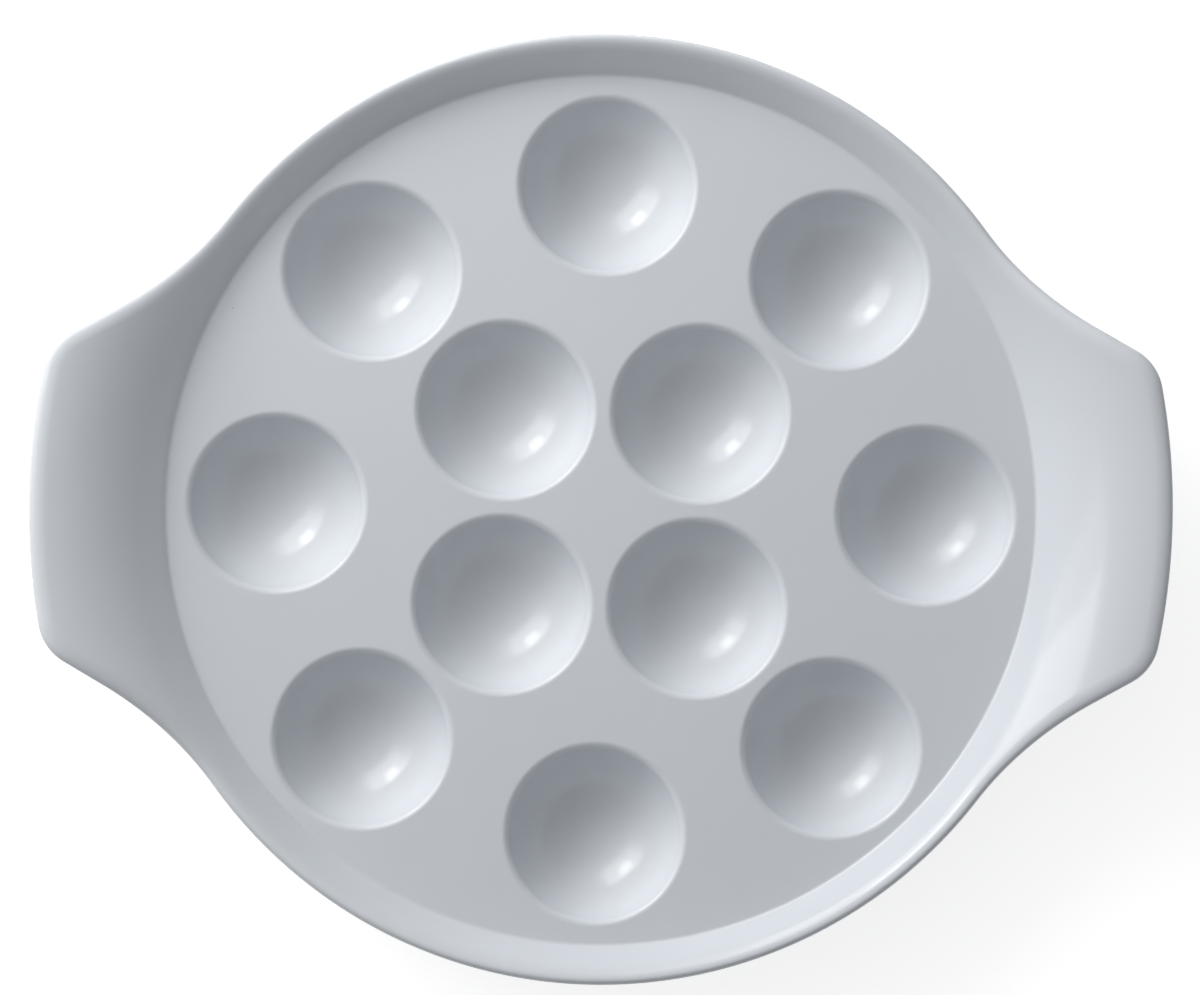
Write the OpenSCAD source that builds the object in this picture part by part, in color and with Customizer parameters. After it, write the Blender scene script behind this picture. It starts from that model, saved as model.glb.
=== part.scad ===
// Escargot plate: a round porcelain plate with two ears and a floor full of snail pockets.
// The clay is one fired piece, glazed all over except for the narrow ring that it stands on.
// Sizes are in millimetres. The ears lie along X and the table is at z = 0.

/* [Pockets] */
// Width of a pocket's mouth at floor level
pocket_d = 33; // [30:0.5:36]
// Depth of a pocket below the floor
pocket_depth = 12.5; // [10:0.5:14]
// Rounding of a pocket's edge
pocket_edge_r = 1.5; // [1.2:0.1:1.7]
// Thickness of the bowl under a pocket
pocket_wall = 3.2; // [2.8:0.1:4]
// Number of pockets in the inner ring
inner_count = 4; // [3:1:5]
// Number of pockets in the outer ring
outer_count = 8; // [6:1:9]
// Space between neighbouring pockets of the inner ring
inner_gap = 4; // [3:0.5:8]
// Space between a pocket of the inner ring and one of the outer ring
ring_gap = 2.4; // [2.4:0.2:6]
// How much farther out every second pocket of the outer ring sits
odd_shift = 1.3; // [0.6:0.1:3]
// Floor left outside the outermost pockets
edge_gap = 2.8; // [1.9:0.1:6]

/* [Floor and wall] */
// Thickness of the floor
floor_t = 4; // [3.5:0.1:5]
// Distance from the flat floor's edge to the outside of the lip
wall_run = 7.8; // [7.4:0.1:10]
// Thickness of the wall at its rounded lip
wall_t = 2.6; // [2.4:0.1:3.4]
// Slope of the wall where it is steepest, in degrees
wall_slope = 48; // [44:1:52]
// Radius of the hollow between the floor and the wall
root_r = 1; // [0.8:0.1:2]
// Distance from the flat floor's edge to where the wall begins to ease off towards the ears
bend_run = 3.6; // [3:0.1:5]
// Pull of the lip on the wall's outside curve
under_pull = 0.3; // [0.24:0.01:0.36]
// Pull of the foot ring on the wall's outside curve
flare_pull = 0.3; // [0.2:0.01:0.35]

/* [Ears] */
// How far an ear stands out beyond the plain lip
ear_reach = 17.4; // [14:0.1:22]
// Width of an ear, measured where its two sides would meet the line of its end
ear_w = 54; // [46:1:60]
// Slope left in the ear at its end, in degrees
ear_slope = 8; // [4:1:12]
// Angle between an ear's side and the line of the ears, in degrees
ear_side = 30; // [24:1:34]
// Radius of an ear's corners
ear_corner_r = 10; // [7:0.5:12]
// Radius of the hollow curve between an ear and the plain lip
ear_hollow_r = 70; // [55:1:85]
// Radius of an ear's bowed end
ear_end_r = 128; // [100:1:200]

/* [Foot] */
// Clearance between the pocket bowls and the table
foot_gap = 1.8; // [1:0.1:4]
// Clearance between the outer pocket bowls and the foot ring
bowl_gap = 0.8; // [0.8:0.1:3]
// Thickness of the foot ring
foot_t = 3.6; // [3:0.1:4.5]
// Lean of the foot ring's outside, from its top to the table
foot_lean = 1; // [0.5:0.1:2]
// Distance from the floor down to where the wall begins to flare out
flare_drop = 7.5; // [6:0.1:9]
// Rounding of the foot ring's two lower corners
foot_corner = 0.5; // [0.3:0.1:0.8]

/* [Glaze] */
// Thickness of the glaze
glaze_t = 0.3; // [0.2:0.05:0.4]
// Height of the bare clay above the table
bare_h = 1.2; // [1:0.1:1.6]

/* [Hidden] */
$fn = 96;
past = 1;

// Rings of pockets, the floor and the plain lip
pocket_r = pocket_d / 2;
inner_ring_r = (pocket_d + inner_gap) / (2 * sin(180 / inner_count));
outer_ring_r = inner_ring_r + pocket_d + ring_gap;
far_ring_r = outer_ring_r + odd_shift;
floor_r = far_ring_r + pocket_r + edge_gap;
plate_r = floor_r + wall_run;
ear_end = plate_r + ear_reach;

// Heights
floor_h = foot_gap + pocket_wall + pocket_depth;
under_h = floor_h - floor_t;
lip_r = wall_t / 2;

// Wall and ears are one surface turned about the plate's axis: a hollow root, a straight bank and a
// rounded crown that eases off to the ears' ends. The lip's plan is cut out of it
bend_h = floor_h + root_r * (1 - cos(wall_slope)) + (bend_run - root_r * sin(wall_slope)) * tan(wall_slope);
crown_r = (ear_end - lip_r * (1 + sin(ear_slope)) - floor_r - bend_run) / (sin(wall_slope) - sin(ear_slope));
crown_x = floor_r + bend_run + crown_r * sin(wall_slope);
crown_h = bend_h - crown_r * cos(wall_slope);

// A pocket is part of a ball; its edge is a rounding that touches the ball and the floor
ball_r = (pocket_r * pocket_r + pocket_depth * pocket_depth) / (2 * pocket_depth);
ball_h = floor_h - pocket_depth + ball_r;
edge_h = floor_h - pocket_edge_r;
edge_drop = ball_h - edge_h;
edge_x = sqrt(pow(ball_r + pocket_edge_r, 2) - pow(edge_drop, 2));

// Foot ring
bowl_r = ball_r + pocket_wall;
foot_in_r = far_ring_r + sqrt(pow(bowl_r, 2) - pow(ball_h - under_h, 2)) + bowl_gap;
foot_out_r = foot_in_r + foot_t;
flare_r = foot_out_r + foot_lean;
flare_h = floor_h - flare_drop;

// Plan of the lip: arcs that run into one another
side_dir = [-cos(ear_side), sin(ear_side)];
side_out = [sin(ear_side), cos(ear_side)];
side_at = [ear_end, ear_w / 2];
end_c = [ear_end - ear_end_r, 0];
corner_c = slide(side_at - ear_corner_r * side_out, end_c, ear_end_r - ear_corner_r);
hollow_c = slide(side_at + ear_hollow_r * side_out, [0, 0], plate_r + ear_hollow_r);
corner_a = heading(corner_c - end_c);
hollow_a = heading(hollow_c);
quarter = concat(
    arc(end_c, ear_end_r, 0, corner_a, 5, 1),
    rest(arc(corner_c, ear_corner_r, corner_a, 90 - ear_side, 6, 1)),
    arc(hollow_c, ear_hollow_r, 270 - ear_side, 180 + hollow_a, 6, -1),
    rest(arc([0, 0], plate_r, hollow_a, 90, 10, 1))
);
half = concat(quarter, rest(turned(quarter, [-1, 1])));
plan = concat(half, rest(short(turned(half, [1, -1]))));

// Point on a line along an ear's side that lies at distance d from a centre
function slide(p, centre, d) =
    let (q = p - centre, along = q * side_dir)
    p + side_dir * (-along - sqrt(along * along - q * q + d * d));

// Direction of a vector, in degrees
function heading(v) = atan2(v.y, v.x);

// Points of an arc, each with its outward direction
function arc(centre, r, from, to, steps, outward) = [
    for (k = [0:steps])
        let (a = from + (to - from) * k / steps, u = [cos(a), sin(a)])
        [centre + r * u, outward * u]
];

// A list without its first entry, or without its last
function rest(list) = [for (k = [1:len(list) - 1]) list[k]];
function short(list) = [for (k = [0:len(list) - 2]) list[k]];

// A run of the plan mirrored and taken in reverse
function turned(list, m) = [
    for (k = [len(list) - 1:-1:0])
        [[list[k][0].x * m.x, list[k][0].y * m.y], [list[k][1].x * m.x, list[k][1].y * m.y]]
];

// Point in space above a point of the plan
function above(p, z) = [p.x, p.y, z];

// Smooth curve from p to q that leaves p towards a and arrives at q from b
function curve(p, a, b, q, t) =
    pow(1 - t, 3) * p + 3 * pow(1 - t, 2) * t * a + 3 * (1 - t) * t * t * b + pow(t, 3) * q;

// Section through the plate at one point of the plan, from the floor's edge over the lip to the foot,
// with its surface set back by up
function section(spot, up) =
    let (
        hub = spot[0] - lip_r * spot[1],
        e = hub / norm(hub),
        slope = asin((crown_x - norm(hub)) / (crown_r - lip_r)),
        rise = above(-sin(slope) * e, cos(slope)),
        along = above(cos(slope) * e, sin(slope)),
        level = above(spot[1], 0),
        edge = level - (level * rise) * rise,
        lip_c = above(hub, crown_h + (crown_r - lip_r) * cos(slope)),
        lip = [
            for (a = [90:-30:-90])
                lip_c + (lip_r - up) * (sin(a) * rise + cos(a) * edge / norm(edge))
        ],
        lean = above(foot_lean * e, flare_h) / norm([foot_lean, flare_h]),
        flare_at = above((flare_r - up) * e, flare_h),
        lip_out = lip[len(lip) - 1],
        outer = norm(lip_out - flare_at)
    )
    concat(
        [for (a = [0, wall_slope / 2, wall_slope])
            above((floor_r + (root_r + up) * sin(a)) * e, floor_h + root_r - (root_r + up) * cos(a))],
        [for (t = [0, 0.2, 0.4, 0.6, 0.8])
            let (a = wall_slope + (slope - wall_slope) * t)
            above((crown_x - (crown_r - up) * sin(a)) * e, crown_h + (crown_r - up) * cos(a))],
        lip,
        [for (t = [0.2, 0.4, 0.6, 0.8, 1])
            curve(lip_out, lip_out - under_pull * outer * along,
                flare_at + flare_pull * outer * lean, flare_at, t)],
        [
            above((foot_out_r - up) * e, foot_corner),
            above((foot_out_r - up - foot_corner) * e, 0)
        ]
    );

// Plate as a solid block, without its pockets: the sections joined into one skin
module dish(up) {
    rows = [for (spot = plan) section(spot, up)];
    count = len(rows);
    steps = len(rows[0]);
    skin = [
        for (k = [0:count - 1], j = [0:steps - 2])
            let (a = k * steps + j, b = ((k + 1) % count) * steps + j)
            each [[a, b + 1, a + 1], [a, b, b + 1]]
    ];
    top = [for (k = [count - 1:-1:0]) k * steps];
    bottom = [for (k = [0:count - 1]) k * steps + steps - 1];
    polyhedron([for (row = rows) each row], concat(skin, [top, bottom]), convexity = 6);
}

// One copy at each pocket
module at_pockets() {
    for (k = [0:inner_count - 1])
        rotate((k + 0.5) * 360 / inner_count)
            translate([inner_ring_r, 0, 0])
                children();
    for (k = [0:outer_count - 1])
        rotate(k * 360 / outer_count)
            translate([k % 2 == 0 ? outer_ring_r : far_ring_r, 0, 0])
                children();
}

// Hollow of a pocket, with its surface set back by up
module pocket(up) {
    share = (ball_r + up) / (ball_r + pocket_edge_r);
    touch = [edge_x * share, ball_h - edge_drop * share];
    throat = [
        [0, touch.y - past],
        [touch.x - past, touch.y - past],
        touch,
        [edge_x, edge_h],
        [edge_x, floor_h + past],
        [0, floor_h + past]
    ];
    rotate_extrude()
        difference() {
            union() {
                intersection() {
                    translate([0, ball_h])
                        circle(ball_r + up);
                    translate([0, touch.y - 2 * ball_r])
                        square([2 * ball_r, 2 * ball_r]);
                }
                polygon(throat);
            }
            translate([edge_x, edge_h])
                circle(pocket_edge_r - up);
        }
}

// Bowl under a pocket, with its surface set back by base
module bowl(base) {
    intersection() {
        translate([0, 0, ball_h])
            sphere(bowl_r - base);
        cylinder(h = floor_h - floor_t / 2, r = bowl_r + past);
    }
}

// Space under the plate inside the foot ring, with the clay set back by base
module hollow(base) {
    difference() {
        union() {
            translate([0, 0, -past])
                cylinder(h = under_h + base + past, r = foot_in_r + base);
            translate([0, 0, -past])
                cylinder(
                    h = foot_corner + past,
                    r1 = foot_in_r + base + foot_corner + past,
                    r2 = foot_in_r + base
                );
        }
        at_pockets()
            bowl(base);
    }
}

// Whole plate: the block hollowed underneath, then cut by its pockets
module form(up, base) {
    difference() {
        difference() {
            dish(up);
            hollow(base);
        }
        at_pockets()
            pocket(up);
    }
}

// Everything at the height of the bare clay
module bare_zone() {
    translate([0, 0, -2 * past])
        cylinder(h = bare_h + 2 * past, r = ear_end + past);
}

module porcelain_body() {
    color("#d9d6cf")
        form(glaze_t, glaze_t);
}

module upper_glaze() {
    color("#e6e9ec")
        difference() {
            form(0, glaze_t);
            form(glaze_t, -past);
            bare_zone();
        }
}

module base_glaze() {
    color("#dfe3e6")
        difference() {
            hollow(glaze_t);
            hollow(0);
            bare_zone();
        }
}

porcelain_body();
upper_glaze();
base_glaze();
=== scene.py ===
"""Escargot plate: glazed porcelain with two ears and twelve pockets, lit from the upper left."""

import math

import bmesh
import bpy
import numpy as np
from mathutils import Matrix, Vector
from mathutils.geometry import delaunay_2d_cdt


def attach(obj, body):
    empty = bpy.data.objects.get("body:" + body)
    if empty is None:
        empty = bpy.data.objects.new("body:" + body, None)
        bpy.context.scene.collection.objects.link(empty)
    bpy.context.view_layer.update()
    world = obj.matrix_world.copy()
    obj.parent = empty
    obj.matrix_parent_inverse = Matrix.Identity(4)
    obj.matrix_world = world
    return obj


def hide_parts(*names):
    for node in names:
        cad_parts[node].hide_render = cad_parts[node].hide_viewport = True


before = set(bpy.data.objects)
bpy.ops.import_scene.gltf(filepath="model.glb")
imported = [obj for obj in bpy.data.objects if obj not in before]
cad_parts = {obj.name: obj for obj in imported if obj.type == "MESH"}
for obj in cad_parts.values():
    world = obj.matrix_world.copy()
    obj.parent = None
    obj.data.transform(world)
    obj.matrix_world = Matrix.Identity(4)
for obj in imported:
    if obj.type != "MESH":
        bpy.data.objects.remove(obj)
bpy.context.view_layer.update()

# Sizes of the plate in millimetres and degrees, as in the CAD. The ears lie along X.

# Pockets
POCKET_D = 33.0  # width of a pocket's mouth at floor level
POCKET_DEPTH = 12.5
EDGE_R = 1.5  # rounding of a pocket's edge
POCKET_WALL = 3.2  # thickness of the bowl under a pocket
INNER_COUNT = 4
OUTER_COUNT = 8
INNER_GAP = 4.0  # between neighbours of the inner ring
RING_GAP = 2.4  # between the inner ring and the outer one
ODD_SHIFT = 1.3  # how much farther out every second pocket of the outer ring sits
EDGE_GAP = 2.8  # floor left outside the outermost pockets

# Floor and wall
FLOOR_T = 4.0
WALL_RUN = 7.8  # from the flat floor's edge to the outside of the lip
WALL_T = 2.6  # at the rounded lip
WALL_SLOPE = 48.0
ROOT_R = 1.0  # hollow between the floor and the wall
BEND_RUN = 3.6  # from the flat floor's edge to where the wall begins to ease off
UNDER_PULL = 0.3  # pull of the lip on the wall's outside curve
FLARE_PULL = 0.3  # pull of the foot ring on the same curve

# Ears
EAR_REACH = 17.4  # beyond the plain lip
EAR_W = 54.0  # where the two sides would meet the line of the end
EAR_SLOPE = 8.0  # left at the end
EAR_SIDE = 30.0  # between an ear's side and the line of the ears
EAR_CORNER_R = 10.0
EAR_HOLLOW_R = 70.0  # between an ear and the plain lip
EAR_END_R = 128.0

# Foot
FOOT_GAP = 1.8  # between the bowls and the table
BOWL_GAP = 0.8  # between the outer bowls and the foot ring
FOOT_T = 3.6
FOOT_LEAN = 1.0  # of the foot ring's outside, from its top to the table
FLARE_DROP = 7.5  # from the floor down to where the wall begins to flare out
FOOT_CORNER = 0.5  # rounding of the foot ring's lower corners

# Glaze
GLAZE_T = 0.3
BARE_H = 1.2  # bare clay above the table

# Softer forms than the CAD's: the glaze rounds the lip and fills the corners under the plate.
SHOULDER = 1.9  # how far inside the clay's roll the lip begins to turn over
LIP_PULL = 0.32  # how long the turn keeps to the crown's slope
SIDE_PULL = 0.72  # how long it keeps to the upright side
LIP_DROP = 0.5  # how far the outermost line sinks where the wall is steep
TUCK_PULL = 0.34  # roundness of the turn from the side to below
UNDER_BEND = 1.0  # rounding between the underside and the foot ring
BOWL_BLEND = 1.2  # height over which a bowl runs into the underside
COAT_END_RISE = 0.25  # height above the bare clay where the upper coat's end begins to round off
COAT_END_DROP = 0.06  # height above the bare clay of its last line
COAT_END_TUCK = 0.08  # how far that line lies inside the foot ring's outside

# Fineness of the meshes: steps along a quarter of the lip's outline
END_STEPS = 12
CORNER_STEPS = 12
SIDE_STEPS = 6
HOLLOW_STEPS = 18
RIM_STEPS = 40

# Rings from the floor's edge over the lip to the table
ROOT_RINGS = 8
CROWN_RINGS = 14
ROLL_RINGS = 17
TUCK_RINGS = 8
FLARE_RINGS = 12
FOOT_RING_HEIGHTS = (8.0, 6.0, 4.0, 2.5)
FOOT_CORNER_RINGS = 7

# Steps round a pocket and round the underside, and rows across them
SEEN_POCKET_STEPS = 96
HIDDEN_POCKET_STEPS = 48
EDGE_ROWS = 10
BASE_STEPS = 432
SEEN_SPACING = 0.6
HIDDEN_SPACING = 1.2
BEND_ROWS = 6
FALL_ROWS = 4

# Flat strips inside the floor's edge and round a pocket's mouth, and how much of the second counts as mouth
FLOOR_STRIP = 0.3
MOUTH_STRIP = 0.12
MOUTH_LIMIT = 0.11

# How the floor is divided into triangles: over all its points, which are one when closer than this
WHOLE_HULL = 0
SAME_POINT = 1e-6

# Sizes that follow from these
POCKET_R = POCKET_D / 2
INNER_RING_R = (POCKET_D + INNER_GAP) / (2 * math.sin(math.pi / INNER_COUNT))
OUTER_RING_R = INNER_RING_R + POCKET_D + RING_GAP
FAR_RING_R = OUTER_RING_R + ODD_SHIFT
FLOOR_R = FAR_RING_R + POCKET_R + EDGE_GAP
PLATE_R = FLOOR_R + WALL_RUN
EAR_END = PLATE_R + EAR_REACH
FLOOR_H = FOOT_GAP + POCKET_WALL + POCKET_DEPTH
UNDER_H = FLOOR_H - FLOOR_T
LIP_R = WALL_T / 2
STEEP = math.radians(WALL_SLOPE)
FLAT = math.radians(EAR_SLOPE)
ROOT_RISE = ROOT_R * (1 - math.cos(STEEP))
BEND_H = FLOOR_H + ROOT_RISE + (BEND_RUN - ROOT_R * math.sin(STEEP)) * math.tan(STEEP)
CROWN_RUN = EAR_END - LIP_R * (1 + math.sin(FLAT)) - FLOOR_R - BEND_RUN
CROWN_R = CROWN_RUN / (math.sin(STEEP) - math.sin(FLAT))
CROWN_X = FLOOR_R + BEND_RUN + CROWN_R * math.sin(STEEP)
CROWN_H = BEND_H - CROWN_R * math.cos(STEEP)
BALL_R = (POCKET_R**2 + POCKET_DEPTH**2) / (2 * POCKET_DEPTH)
BALL_H = FLOOR_H - POCKET_DEPTH + BALL_R
EDGE_H = FLOOR_H - EDGE_R
EDGE_DROP = BALL_H - EDGE_H
EDGE_X = math.sqrt((BALL_R + EDGE_R) ** 2 - EDGE_DROP**2)
BOWL_R = BALL_R + POCKET_WALL
FOOT_IN_R = FAR_RING_R + math.sqrt(BOWL_R**2 - (BALL_H - UNDER_H) ** 2) + BOWL_GAP
FOOT_OUT_R = FOOT_IN_R + FOOT_T
FLARE_R = FOOT_OUT_R + FOOT_LEAN
FLARE_H = FLOOR_H - FLARE_DROP
LIP_FROM = ROOT_RINGS + CROWN_RINGS
LIP_RINGS = ROLL_RINGS + TUCK_RINGS

# Looks of the glaze and the clay
GLAZE_IOR = 1.5
GLAZE_ROUGHNESS = (0.07, 0.12)
CLOUD_SPAN = (0.3, 0.7)  # of the noise that clouds the glaze
CLOUD_SHADES = (0.985, 1.01)  # of the colour at the two ends of that span
UPPER_COLOUR = (0.747, 0.79, 0.842)
# Painted light: a paler colour that brightens the insides of the pockets, most at their bottoms
UPPER_POCKET_LIGHT = (0.81, 0.842, 0.878)
UPPER_DRAWN = (0.785, 0.82, 0.86)
BASE_COLOUR = (0.74, 0.785, 0.84)
# Painted light for the pockets' insides, paler, as above
BASE_POCKET_LIGHT = (0.80, 0.835, 0.872)
BASE_DRAWN = (0.78, 0.81, 0.85)
SPECK_COLOUR = (0.36, 0.33, 0.3)
POCKET_LIGHT_SHARE = 0.75  # of the paler colour at the bottom of a pocket, painted light that brightens it
THIN_SHARE = 0.45  # of the drawn colour where the glaze is thinnest
SPECK_SHARE = 0.4
SPECK_FADE = (0.02, 0.045)  # where a speck begins to fade and where it ends
SPECK_RARITY = 0.965  # share of the places for a speck that stay clear
PIT_DEPTH = 0.3  # of a speck, against the waves of the glaze
POCKET_DRAWN = 0.25  # how thin a pocket's edge draws the glaze, against the lip
CLAY_DARK = (0.62, 0.58, 0.52)
CLAY_PALE = (0.78, 0.75, 0.7)
SCUFF_SPAN = (0.35, 0.6)  # of the noise between dark clay and pale
CLAY_ROUGHNESS = 0.85

# Light, in degrees anticlockwise from +X and down from straight up, and metres
KEY_AZIMUTH = 136.0
KEY_ZENITH = 59.5
CORE_AZIMUTH = 134
CORE_ZENITH = 60
KEY_TINT = (1.0, 0.977, 0.951)
FILL_TINT = (0.792, 0.8, 0.815)
FILL_FAR = 0.16  # strength of the fill away from the key light
FILL_NEAR = 1.0  # and towards it
FILL_FOCUS = 2.0
FLOOR_SHADE = 0.62
FLOOR_GLOW = 0.76
FLOOR_DISC_R = 12.0
WHITE = (1.0, 1.0, 1.0, 1.0)

# Camera: almost straight above, a long lens, turned a little as in the photograph, in metres and degrees
SENSOR_WIDTH = 36.0
VIEW_DISTANCE = 1.2
VIEW_WIDTH = 0.22565
VIEW_TARGET = (-0.0002, 0.0017, 0.028)
VIEW_TILT = 2.5
VIEW_ROLL = 1.1
VIEW_LIMIT = 50

METRES = 0.001


def circle(steps):
    """Points of a circle of radius 1, anticlockwise."""
    turn = np.linspace(0, 2 * math.pi, steps, endpoint=False)
    return np.stack([np.cos(turn), np.sin(turn)], 1)


def above(plan, height):
    """Points of a plan lifted to a height, or to a height each."""
    z = np.asarray(height, float).reshape(-1, 1)
    return np.concatenate([plan, np.broadcast_to(z, (len(plan), 1))], 1)


def curve(p, a, b, q, t):
    """Points at t on cubic curves from p to q that are pulled towards a and b."""
    return (1 - t) ** 3 * p + 3 * (1 - t) ** 2 * t * a + 3 * (1 - t) * t * t * b + t**3 * q


def pocket_centres():
    """Centres of the pockets: the inner ring, then the outer one."""
    places = [(INNER_RING_R, 360 / INNER_COUNT * (k + 0.5)) for k in range(INNER_COUNT)]
    places += [((OUTER_RING_R, FAR_RING_R)[k % 2], 360 / OUTER_COUNT * k) for k in range(OUTER_COUNT)]
    return [(r * math.cos(math.radians(a)), r * math.sin(math.radians(a))) for r, a in places]


def lip_plan():
    """Points of the lip's outline, anticlockwise, and the outward direction at each."""
    slant = math.radians(EAR_SIDE)
    along = np.array([-math.cos(slant), math.sin(slant)])
    out = np.array([math.sin(slant), math.cos(slant)])
    at = np.array([EAR_END, EAR_W / 2])

    def slide(p, centre, d):
        """Where a point that slides along the ear's side from p comes to lie d away from centre."""
        q = p - centre
        k = q @ along
        return p + along * (-k - math.sqrt(k * k - q @ q + d * d))

    def arc(centre, r, a, b, steps, sign):
        """Points of an arc from a to b, in degrees, and the directions out of the plate there."""
        t = np.radians(np.linspace(a, b, steps + 1))
        u = np.stack([np.cos(t), np.sin(t)], 1)
        return centre + r * u, sign * u

    end_c = np.array([EAR_END - EAR_END_R, 0.0])
    corner_c = slide(at - EAR_CORNER_R * out, end_c, EAR_END_R - EAR_CORNER_R)
    hollow_c = slide(at + EAR_HOLLOW_R * out, np.zeros(2), PLATE_R + EAR_HOLLOW_R)
    corner_a = math.degrees(math.atan2(corner_c[1], corner_c[0] - end_c[0]))
    hollow_a = math.degrees(math.atan2(hollow_c[1], hollow_c[0]))
    end, end_out = arc(end_c, EAR_END_R, 0, corner_a, END_STEPS, 1)
    corner, corner_out = arc(corner_c, EAR_CORNER_R, corner_a, 90 - EAR_SIDE, CORNER_STEPS, 1)
    hollow, hollow_out = arc(hollow_c, EAR_HOLLOW_R, 270 - EAR_SIDE, 180 + hollow_a, HOLLOW_STEPS, -1)
    rim, rim_out = arc(np.zeros(2), PLATE_R, hollow_a, 90, RIM_STEPS, 1)
    t = np.linspace(0, 1, SIDE_STEPS + 1)[1:-1, None]
    side = corner[-1] * (1 - t) + hollow[0] * t
    side_out = np.tile(out, (len(t), 1))
    p = np.concatenate([end, corner[1:], side, hollow, rim[1:]])
    n = np.concatenate([end_out, corner_out[1:], side_out, hollow_out, rim_out[1:]])
    for mirror, last in (((-1, 1), None), ((1, -1), -1)):
        p, n = (np.concatenate([v, (v * mirror)[::-1][1:last]]) for v in (p, n))
    return p, n


POCKETS = pocket_centres()

# The lip's outline, the middle of the clay's roll and the line where the lip begins to turn over
PLAN, OUT = lip_plan()
HUB = PLAN - LIP_R * OUT
HUB_R = np.linalg.norm(HUB, axis=1)
INNER = HUB - SHOULDER * OUT
INNER_R = np.linalg.norm(INNER, axis=1)
RADIAL = INNER / INNER_R[:, None]
BOW = np.arcsin((CROWN_X - INNER_R) / CROWN_R)

# Slope of the crown above the roll's middle, and the directions there:
# out of the crown, up it, level, and along it towards the edge
EASE = np.arcsin((CROWN_X - HUB_R) / (CROWN_R - LIP_R))
HUB_WAY = HUB / HUB_R[:, None]
RISE = above(-np.sin(EASE)[:, None] * HUB_WAY, np.cos(EASE))
ALONG = above(np.cos(EASE)[:, None] * HUB_WAY, np.sin(EASE))
LEVEL = above(OUT, 0)
EDGEWAYS = LEVEL - (LEVEL * RISE).sum(1)[:, None] * RISE
EDGEWAYS /= np.linalg.norm(EDGEWAYS, axis=1)[:, None]
ROLL_C = above(HUB, CROWN_H + (CROWN_R - LIP_R) * np.cos(EASE))


def root_ring(angle, up):
    """Ring of the hollow between floor and wall where its slope is angle, set back by up."""
    reach = FLOOR_R + (ROOT_R + up) * math.sin(angle)
    return above(reach * RADIAL, FLOOR_H + ROOT_R - (ROOT_R + up) * math.cos(angle))


def crown_ring(angles, up):
    """Ring of the wall and the ears where the slope at each point is in angles, set back by up."""
    reach = CROWN_X - (CROWN_R - up) * np.sin(angles)
    return above(reach[:, None] * RADIAL, CROWN_H + (CROWN_R - up) * np.cos(angles))


def lip_rings(up):
    """Rings from the crown over the lip to its underside, set back by up."""
    start = crown_ring(BOW, up)
    ahead = above(OUT, np.tan(BOW) * (RADIAL * OUT).sum(1)) * (LIP_R + SHOULDER - up)
    side = ROLL_C + (LIP_R - up) * LEVEL - above(0 * OUT, LIP_DROP * np.sin(EASE))
    tall = above(0 * OUT, (start + ahead - side)[:, 2])
    below = ROLL_C - (LIP_R - up) * RISE
    tuck = TUCK_PULL * np.linalg.norm(side - below, axis=1)[:, None]
    roll = [
        curve(start, start + LIP_PULL * ahead, side + SIDE_PULL * tall, side, t)
        for t in np.linspace(0, 1, ROLL_RINGS)
    ]
    turn = [
        curve(side, side - tuck * np.array([0, 0, 1]), below + tuck * EDGEWAYS, below, t)
        for t in np.linspace(0, 1, TUCK_RINGS + 1)[1:]
    ]
    return roll + turn


def flare_rings(lip, up):
    """Rings of the outside from the lip's last ring down to the foot ring, set back by up."""
    flare = above((FLARE_R - up) * RADIAL, FLARE_H)
    lean = above(FOOT_LEAN * RADIAL, FLARE_H) / math.hypot(FOOT_LEAN, FLARE_H)
    span = np.linalg.norm(lip - flare, axis=1)[:, None]
    return [
        curve(lip, lip - UNDER_PULL * span * ALONG, flare + FLARE_PULL * span * lean, flare, t)
        for t in np.linspace(0, 1, FLARE_RINGS + 1)[1:]
    ]


def skin(up, foot):
    """Grid of points, outline by rings, from the floor's edge over the lip to the foot, set back by up.

    foot lists the rings below the flare: radius before it is set back, and height."""
    rings = [root_ring(a, up) for a in np.linspace(0, STEEP, ROOT_RINGS)]
    rings += [crown_ring(a, up) for a in np.linspace(STEEP, BOW, CROWN_RINGS + 1)[:-1]]
    rings += lip_rings(up)
    rings += flare_rings(rings[-1], up)
    rings += [above((r - up) * RADIAL, z) for r, z in foot]
    return np.stack(rings, 1)


def pocket_profile(up, rows):
    """Radius and height from a pocket's mouth over its rounded edge to near its bottom, set back by up."""
    edge_end = math.atan2(EDGE_DROP, -EDGE_X)
    ball_from = math.atan2(EDGE_X, EDGE_DROP)
    edge = [
        (EDGE_X + (EDGE_R - up) * math.cos(a), EDGE_H + (EDGE_R - up) * math.sin(a))
        for a in np.linspace(math.pi / 2, edge_end, EDGE_ROWS)
    ]
    ball = [
        ((BALL_R + up) * math.sin(a), BALL_H - (BALL_R + up) * math.cos(a))
        for a in np.linspace(ball_from, 0, rows)[1:-1]
    ]
    return edge + ball


def under_height(xy, base):
    """Height of the underside at points xy, set back by base: a flat that the bowls run into softly."""
    z = np.full(xy.shape[:-1], UNDER_H + base)
    r = BOWL_R - base
    for x, y in POCKETS:
        d = np.hypot(xy[..., 0] - x, xy[..., 1] - y)
        ball = np.where(d < r, BALL_H - np.sqrt(np.maximum(0, r * r - d * d)), BALL_H)
        near = np.maximum(BOWL_BLEND - np.abs(z - ball), 0) / BOWL_BLEND
        z = np.minimum(z, ball) - near * near * BOWL_BLEND / 4
    return z


def foot_line(z):
    """Radius and height on the foot ring's leaning outside."""
    return FOOT_OUT_R + FOOT_LEAN * (z - FOOT_CORNER) / (FLARE_H - FOOT_CORNER), z


def foot_corner(r, way):
    """Radius and height round a lower corner of the foot ring, from r at its side to the table."""
    return [
        (r + way * FOOT_CORNER * (1 - math.cos(a)), FOOT_CORNER * (1 - math.sin(a)))
        for a in np.linspace(0, math.pi / 2, FOOT_CORNER_RINGS)
    ]


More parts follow.
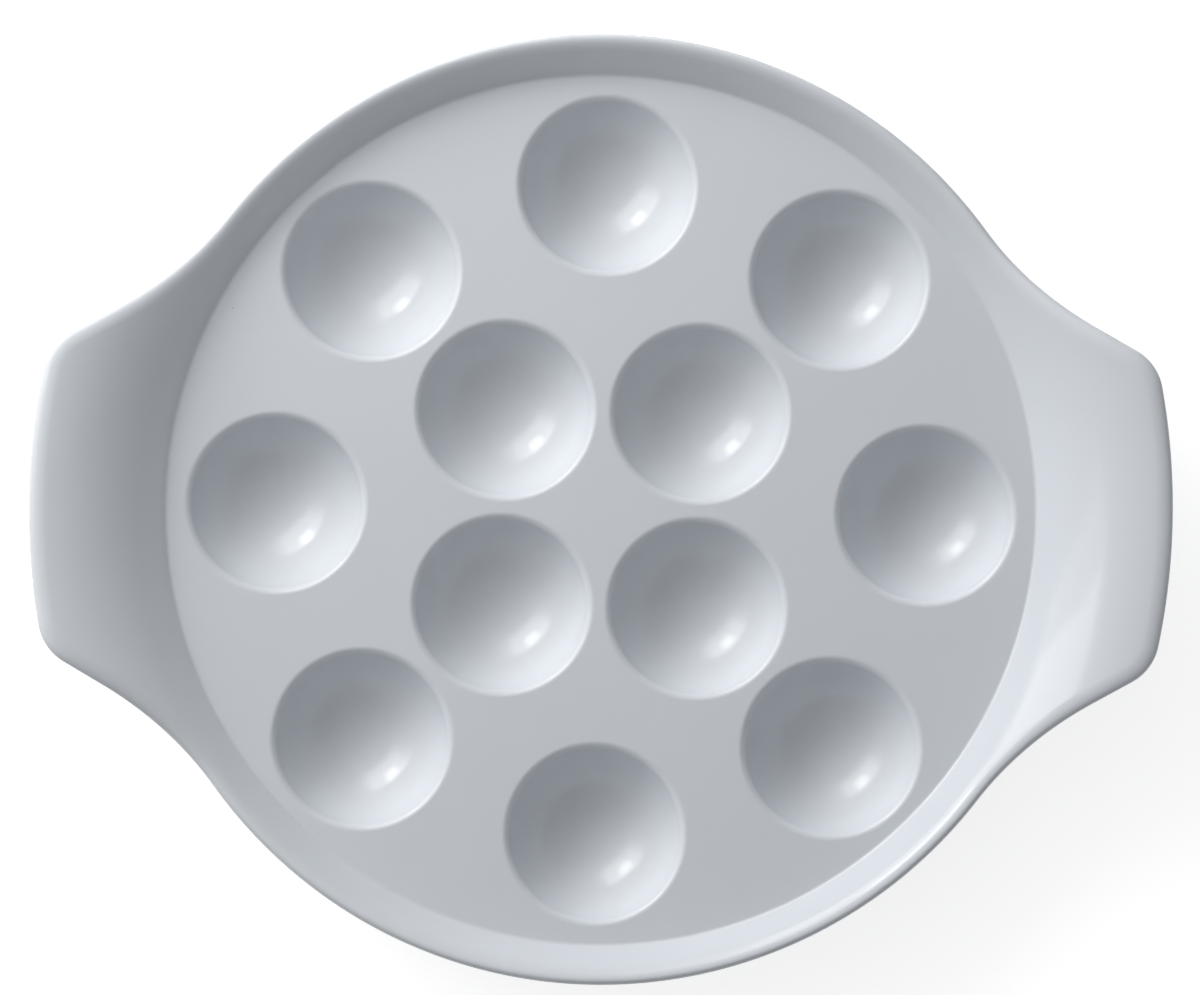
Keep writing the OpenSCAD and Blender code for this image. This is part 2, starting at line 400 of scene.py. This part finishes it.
FOOT_SIDE = [foot_line(z) for z in FOOT_RING_HEIGHTS]


class Shape:
    """Vertices and faces of one mesh, with how deep in a pocket each point lies, which sets the painted
    light there, and how thin the glaze is drawn.
    """

    def __init__(self):
        self.points = []
        self.pocket_light = []
        self.thin = []
        self.faces = []
        self.count = 0

    def add(self, points, pocket_light=0.0, thin=0.0):
        """Adds vertices and returns their numbers."""
        points = np.asarray(points, float).reshape(-1, 3)
        self.points.append(points)
        self.pocket_light.append(np.broadcast_to(pocket_light, len(points)).astype(float))
        self.thin.append(np.broadcast_to(thin, len(points)).astype(float))
        self.count += len(points)
        return np.arange(self.count - len(points), self.count)

    def band(self, rows):
        """Quads over a grid of vertex numbers that closes on itself along its first side."""
        after = np.roll(rows, -1, 0)
        quads = np.stack([rows[:, :-1], rows[:, 1:], after[:, 1:], after[:, :-1]], -1)
        self.faces.extend(quads.reshape(-1, 4).tolist())

    def fan(self, ring, tip):
        """Triangles from a ring of vertex numbers to one vertex."""
        self.faces.extend(zip(ring.tolist(), np.roll(ring, -1).tolist(), [int(tip)] * len(ring)))

    def pocket(self, centre, up, steps):
        """A pocket with its rounded edge, set back by up. Returns the vertex numbers of its mouth."""
        ring = circle(steps)
        profile = pocket_profile(up, steps // 4)
        # How deep each row lies in the pocket: the deeper, the more painted light the glaze gets there
        deep = [max(0.0, (FLOOR_H - h) / POCKET_DEPTH) for _, h in profile]
        drawn = np.zeros(len(profile))
        drawn[:EDGE_ROWS] = POCKET_DRAWN * np.sin(np.linspace(0, math.pi, EDGE_ROWS))
        mouth = self.add(above(centre + (EDGE_X + MOUTH_STRIP) * ring, FLOOR_H - up))
        rows = np.stack([above(centre + r * ring, h) for r, h in profile], 1)
        bowl = self.add(rows, np.tile(deep, steps), np.tile(drawn, steps)).reshape(steps, -1)
        self.band(np.concatenate([mouth[:, None], bowl], 1))
        bottom = self.add([(*centre, BALL_H - BALL_R - up)], 1.0)
        self.fan(bowl[:, -1], bottom[0])
        return mouth

    def floor(self, loops, steps):
        """Triangles between loops of vertex numbers: the floor's edge and the pockets' mouths."""
        numbers = np.concatenate(loops)
        flat = np.concatenate(self.points)[numbers, :2]
        joins = []
        for loop in loops:
            first = len(joins)
            joins += [(first + i, first + (i + 1) % len(loop)) for i in range(len(loop))]
        found = delaunay_2d_cdt([Vector(p) for p in flat], joins, [], WHOLE_HULL, SAME_POINT)
        own = [source[0] for source in found[3]]
        limit = EDGE_X + MOUTH_LIMIT * math.cos(math.pi / steps)
        for triangle in found[2]:
            corners = [own[v] for v in triangle]
            x, y = flat[corners].mean(0)
            clear = all(math.hypot(x - cx, y - cy) > limit for cx, cy in POCKETS)
            if clear and math.hypot(x, y) < FLOOR_R:
                self.faces.append([int(numbers[v]) for v in corners])

    def plate_top(self, up, foot, steps):
        """The whole upper side, set back by up. Returns the vertex numbers of its last ring."""
        rows = skin(up, foot)
        count, rings = rows.shape[:2]
        drawn = np.zeros(rings)
        drawn[LIP_FROM : LIP_FROM + LIP_RINGS] = np.sin(np.linspace(0, math.pi, LIP_RINGS)) ** 2
        grid = self.add(rows, 0.0, np.tile(drawn, count)).reshape(count, rings)
        self.band(grid)
        edge = self.add(above((FLOOR_R - FLOOR_STRIP) * RADIAL, FLOOR_H - up))
        self.band(np.stack([grid[:, 0], edge], 1))
        mouths = [self.pocket(centre, up, steps) for centre in POCKETS]
        self.floor([edge] + mouths, steps)
        return grid[:, -1]

    def underside(self, base, steps, spacing):
        """The side inside the foot ring, set back by base, from the middle out and down the ring.

        Returns the vertex numbers of its last ring."""
        ring = circle(steps)
        edge = FOOT_IN_R + base - UNDER_BEND
        radii = np.linspace(0, edge, int(edge / spacing))[1:]
        xy = ring[:, None, :] * radii[None, :, None]
        z = under_height(xy, base)
        inner = np.concatenate([xy, z[..., None]], -1)
        last = z[:, -1]
        bend = [
            above((edge + UNDER_BEND * math.sin(a)) * ring, last - UNDER_BEND * (1 - math.cos(a)))
            for a in np.linspace(0, math.pi / 2, BEND_ROWS + 1)[1:]
        ]
        fall = [
            above((edge + UNDER_BEND) * ring, (last - UNDER_BEND) * (1 - t) + BARE_H * t)
            for t in np.linspace(0, 1, FALL_ROWS + 1)[1:]
        ]
        rows = np.concatenate([inner, np.stack(bend + fall, 1)], 1)
        grid = self.add(rows).reshape(steps, -1)
        self.band(grid)
        middle = self.add(above(np.zeros((1, 2)), under_height(np.zeros((1, 2)), base)))
        self.fan(grid[:, 0], middle[0])
        return grid[:, -1]

    def make(self, name, material):
        """The object in Blender, in metres. An open edge stops the script."""
        points = np.concatenate(self.points) * METRES
        mesh = bpy.data.meshes.new(name)
        mesh.from_pydata(points.tolist(), [], self.faces)
        # Per point: how much painted light brightens a pocket, and how thin the glaze is drawn
        for key, values in (("pocket_light", self.pocket_light), ("thin", self.thin)):
            layer = mesh.attributes.new(key, "FLOAT", "POINT")
            layer.data.foreach_set("value", np.concatenate(values).astype(np.float32))
        bm = bmesh.new()
        bm.from_mesh(mesh)
        bmesh.ops.recalc_face_normals(bm, faces=bm.faces)
        open_edges = sum(1 for e in bm.edges if not e.is_manifold)
        bm.to_mesh(mesh)
        bm.free()
        if open_edges:
            raise RuntimeError(f"{name} has {open_edges} open edges")
        mesh.polygons.foreach_set("use_smooth", [True] * len(mesh.polygons))
        mesh.materials.append(material)
        mesh.update()
        obj = bpy.data.objects.new(name, mesh)
        bpy.context.scene.collection.objects.link(obj)
        return obj


def upper_coat(material):
    """The glaze over the top, the lip, the ears and the outside: its outer side and its side on the clay."""
    coat = Shape()
    end = [foot_line(BARE_H + COAT_END_RISE), (FOOT_OUT_R - COAT_END_TUCK, BARE_H + COAT_END_DROP)]
    outer = coat.plate_top(0.0, FOOT_SIDE + end, SEEN_POCKET_STEPS)
    inner = coat.plate_top(GLAZE_T, FOOT_SIDE + [foot_line(BARE_H)], HIDDEN_POCKET_STEPS)
    coat.band(np.stack([outer, inner], 1))
    return coat.make("glaze_upper", material)


def base_coat(material):
    """The glaze inside the foot ring: its outer side and its side on the clay."""
    coat = Shape()
    outer = coat.underside(0.0, BASE_STEPS, SEEN_SPACING)
    inner = coat.underside(GLAZE_T, BASE_STEPS, HIDDEN_SPACING)
    coat.band(np.stack([outer, inner], 1))
    return coat.make("glaze_base", material)


def clay_body(material):
    """The clay, of which the bottom of the foot ring shows."""
    body = Shape()
    foot = FOOT_SIDE + [foot_line(BARE_H)] + foot_corner(FOOT_OUT_R, -1)
    outer = body.plate_top(GLAZE_T, foot, HIDDEN_POCKET_STEPS)
    inner = body.underside(GLAZE_T, len(PLAN), HIDDEN_SPACING)
    ring = circle(len(PLAN))
    corner = [body.add(above(r * ring, z)) for r, z in foot_corner(FOOT_IN_R + GLAZE_T, 1)]
    body.band(np.stack([inner] + corner, 1))
    body.band(np.stack([corner[-1], outer], 1))
    return body.make("plate_body", material)


def feed(tree, socket, value):
    """Links an output to a socket, or sets the socket to a plain value."""
    if isinstance(value, bpy.types.NodeSocket):
        tree.links.new(value, socket)
    else:
        socket.default_value = value


def node(tree, kind, *inputs, **values):
    """A new node. Its first inputs are fed in order, and its properties and other inputs by name."""
    made = tree.nodes.new(kind)
    for key, value in values.items():
        if hasattr(made, key):
            setattr(made, key, value)
        else:
            feed(tree, made.inputs[key.replace("_", " ")], value)
    for socket, value in zip(made.inputs, inputs):
        feed(tree, socket, value)
    return made


def maths(tree, operation, a, b):
    """The output of a Math node."""
    return node(tree, "ShaderNodeMath", a, b, operation=operation).outputs[0]


def ranged(tree, value, old, new):
    """A value moved from one range to another."""
    return node(tree, "ShaderNodeMapRange", value, *old, *new).outputs[0]


def mixed(tree, a, b, factor):
    """A colour between two others."""
    made = node(tree, "ShaderNodeMix", factor, data_type="RGBA")
    first, second = made.inputs[6:8]  # the sockets for colours
    feed(tree, first, a)
    feed(tree, second, b)
    return made.outputs[2]


def opaque(colour, shade=1.0):
    """A colour with its alpha, made darker or paler by shade."""
    return tuple(min(1.0, c * shade) for c in colour) + (1.0,)


def surface(name):
    """A new material, its node tree and its shader."""
    material = bpy.data.materials.new(name)
    material.use_nodes = True
    tree = material.node_tree
    tree.nodes.clear()
    shader = node(tree, "ShaderNodeBsdfPrincipled")
    node(tree, "ShaderNodeOutputMaterial", shader.outputs[0])
    return material, tree, shader


def specks(tree, place):
    """1 in the middle of a few small specks, falling to 0 at their edges."""
    cells = node(tree, "ShaderNodeTexVoronoi", Vector=place, Scale=170.0)
    near = ranged(tree, cells.outputs["Distance"], SPECK_FADE, (1.0, 0.0))
    lot = node(tree, "ShaderNodeSeparateColor", cells.outputs["Color"]).outputs[0]
    return maths(tree, "MULTIPLY", near, maths(tree, "GREATER_THAN", lot, SPECK_RARITY))


def glaze_material(name, colour, pocket_light_colour, drawn):
    """Glaze on white clay: paler towards the bottom of a pocket as painted light, paler where drawn thin,
    wavy, with rare specks.
    """
    material, t, shader = surface(name)
    place = node(t, "ShaderNodeTexCoord").outputs["Object"]
    cloud = node(t, "ShaderNodeTexNoise", Vector=place, Scale=22.0, Detail=3.0).outputs["Fac"]
    wave = node(t, "ShaderNodeTexNoise", Vector=place, Scale=95.0, Detail=1.0).outputs["Fac"]
    pocket_light = node(t, "ShaderNodeAttribute", attribute_name="pocket_light").outputs["Fac"]
    thin = node(t, "ShaderNodeAttribute", attribute_name="thin").outputs["Fac"]
    speck = specks(t, place)

    dark, pale = (opaque(colour, shade) for shade in CLOUD_SHADES)
    base = mixed(t, dark, pale, ranged(t, cloud, CLOUD_SPAN, (0.0, 1.0)))
    # Painted light that brightens the insides of the pockets, most at their bottoms
    base = mixed(t, base, opaque(pocket_light_colour), maths(t, "MULTIPLY", pocket_light, POCKET_LIGHT_SHARE))
    base = mixed(t, base, opaque(drawn), maths(t, "MULTIPLY", thin, THIN_SHARE))
    base = mixed(t, base, opaque(SPECK_COLOUR), maths(t, "MULTIPLY", speck, SPECK_SHARE))
    relief = maths(t, "SUBTRACT", wave, maths(t, "MULTIPLY", speck, PIT_DEPTH))
    bump = node(t, "ShaderNodeBump", Strength=0.1, Distance=0.0006, Height=relief)

    feed(t, shader.inputs["Base Color"], base)
    feed(t, shader.inputs["Roughness"], ranged(t, cloud, CLOUD_SPAN, GLAZE_ROUGHNESS))
    feed(t, shader.inputs["IOR"], GLAZE_IOR)
    feed(t, shader.inputs["Normal"], bump.outputs[0])
    return material


def clay_material(name):
    """Bare fired porcelain on the foot: off-white, matt and finely grained, a little scuffed."""
    material, t, shader = surface(name)
    place = node(t, "ShaderNodeTexCoord").outputs["Object"]
    grain = node(t, "ShaderNodeTexNoise", Vector=place, Scale=1800.0, Detail=4.0).outputs["Fac"]
    scuff = node(t, "ShaderNodeTexNoise", Vector=place, Scale=90.0, Detail=5.0, Roughness=0.7).outputs["Fac"]
    ramp = node(t, "ShaderNodeValToRGB", scuff)
    stops = zip(SCUFF_SPAN, (CLAY_DARK, CLAY_PALE))
    for stop, (position, colour) in zip(ramp.color_ramp.elements, stops):
        stop.position = position
        stop.color = opaque(colour)
    bump = node(t, "ShaderNodeBump", Strength=0.35, Distance=0.0002, Height=grain)

    feed(t, shader.inputs["Base Color"], ramp.outputs[0])
    feed(t, shader.inputs["Roughness"], CLAY_ROUGHNESS)
    feed(t, shader.inputs["Normal"], bump.outputs[0])
    return material


def floor_material(name):
    """Pale floor that looks white to the camera and in the glaze, and throws back less light."""
    material = bpy.data.materials.new(name)
    material.use_nodes = True
    t = material.node_tree
    t.nodes.clear()
    path = node(t, "ShaderNodeLightPath")
    lit = node(t, "ShaderNodeBsdfDiffuse", opaque([FLOOR_SHADE] * 3)).outputs[0]
    glow = node(t, "ShaderNodeEmission", WHITE, FLOOR_GLOW).outputs[0]
    both = node(t, "ShaderNodeAddShader", lit, glow).outputs[0]
    seen = maths(t, "MAXIMUM", path.outputs["Is Camera Ray"], path.outputs["Is Glossy Ray"])
    pick = node(t, "ShaderNodeMixShader", seen, lit, both)
    node(t, "ShaderNodeOutputMaterial", pick.outputs[0])
    return material


def floor_disc():
    """The floor, which keeps the plate's shadow."""
    mesh = bpy.data.meshes.new("floor")
    bm = bmesh.new()
    bmesh.ops.create_circle(bm, cap_ends=True, segments=64, radius=FLOOR_DISC_R)
    bm.to_mesh(mesh)
    bm.free()
    mesh.materials.append(floor_material("pale floor"))
    obj = bpy.data.objects.new("floor", mesh)
    scene.collection.objects.link(obj)
    return obj


def toward(azimuth, zenith):
    """Direction anticlockwise from +X by azimuth and down from straight up by zenith, in degrees."""
    a = math.radians(azimuth)
    z = math.radians(zenith)
    return Vector((math.cos(a) * math.sin(z), math.sin(a) * math.sin(z), math.cos(z)))


def studio(name, key):
    """World that fills in softly, most from around the key light, and is white to the camera."""
    world = bpy.data.worlds.new(name)
    world.use_nodes = True
    t = world.node_tree
    t.nodes.clear()
    path = node(t, "ShaderNodeLightPath")
    place = node(t, "ShaderNodeTexCoord").outputs["Generated"]
    facing = node(t, "ShaderNodeVectorMath", place, key, operation="DOT_PRODUCT").outputs["Value"]
    near = node(t, "ShaderNodeMath", facing, FILL_FOCUS, operation="POWER", use_clamp=True).outputs[0]
    strength = ranged(t, near, (0.0, 1.0), (FILL_FAR, FILL_NEAR))
    fill = node(t, "ShaderNodeBackground", opaque(FILL_TINT), strength).outputs[0]
    white = node(t, "ShaderNodeBackground", WHITE, 1.0).outputs[0]
    pick = node(t, "ShaderNodeMixShader", path.outputs["Is Camera Ray"], fill, white)
    node(t, "ShaderNodeOutputWorld", pick.outputs[0])
    return world


def softbox(name, direction, distance, width, height, level):
    """Area light aimed at the plate. Its width and height are angles in degrees, its level a brightness."""
    data = bpy.data.lights.new(name, "AREA")
    data.shape = "RECTANGLE"
    data.size, data.size_y = (2 * distance * math.tan(math.radians(v / 2)) for v in (width, height))
    data.energy = math.pi * data.size * data.size_y * level
    data.color = KEY_TINT
    obj = bpy.data.objects.new(name, data)
    obj.location = distance * direction
    obj.rotation_euler = (-direction).to_track_quat("-Z", "Y").to_euler()
    scene.collection.objects.link(obj)


def photo_camera(name):
    """Camera at the photograph's viewing angle."""
    data = bpy.data.cameras.new(name)
    data.sensor_width = SENSOR_WIDTH
    data.lens = SENSOR_WIDTH * VIEW_DISTANCE / VIEW_WIDTH
    data.clip_end = VIEW_LIMIT
    tilt = math.radians(VIEW_TILT)
    back = Vector((0, -math.sin(tilt), math.cos(tilt)))
    right = Vector((1, 0, 0))
    up = back.cross(right)
    roll = Matrix.Rotation(math.radians(VIEW_ROLL), 3, back)
    axes = Matrix((roll @ right, roll @ up, back)).transposed().to_4x4()
    obj = bpy.data.objects.new(name, data)
    obj.matrix_world = Matrix.Translation(Vector(VIEW_TARGET) + back * VIEW_DISTANCE) @ axes
    scene.collection.objects.link(obj)
    return obj


scene = bpy.context.scene

# The plate
upper = upper_coat(glaze_material("porcelain glaze", UPPER_COLOUR, UPPER_POCKET_LIGHT, UPPER_DRAWN))
base = base_coat(glaze_material("porcelain glaze, base", BASE_COLOUR, BASE_POCKET_LIGHT, BASE_DRAWN))
plate = clay_body(clay_material("bare porcelain"))

for piece, cad, slot in (
    (upper, "upper_glaze", "upper_glaze"),
    (base, "base_glaze", "base_glaze"),
    (plate, "porcelain_body", "bare_porcelain"),
):
    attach(piece, "root")
    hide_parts(cad)

# The stage
ground = floor_disc()
key = toward(KEY_AZIMUTH, KEY_ZENITH)
core = toward(CORE_AZIMUTH, CORE_ZENITH)
scene.world = studio("studio", key)
softbox("key", key, distance=0.5, width=50, height=40, level=1.91)
softbox("key wings", key, distance=0.52, width=70, height=48, level=0.98)
softbox("key core", core, distance=2.5, width=16, height=13, level=4.6)
scene.camera = photo_camera("camera")
scene.view_settings.view_transform = "Standard"
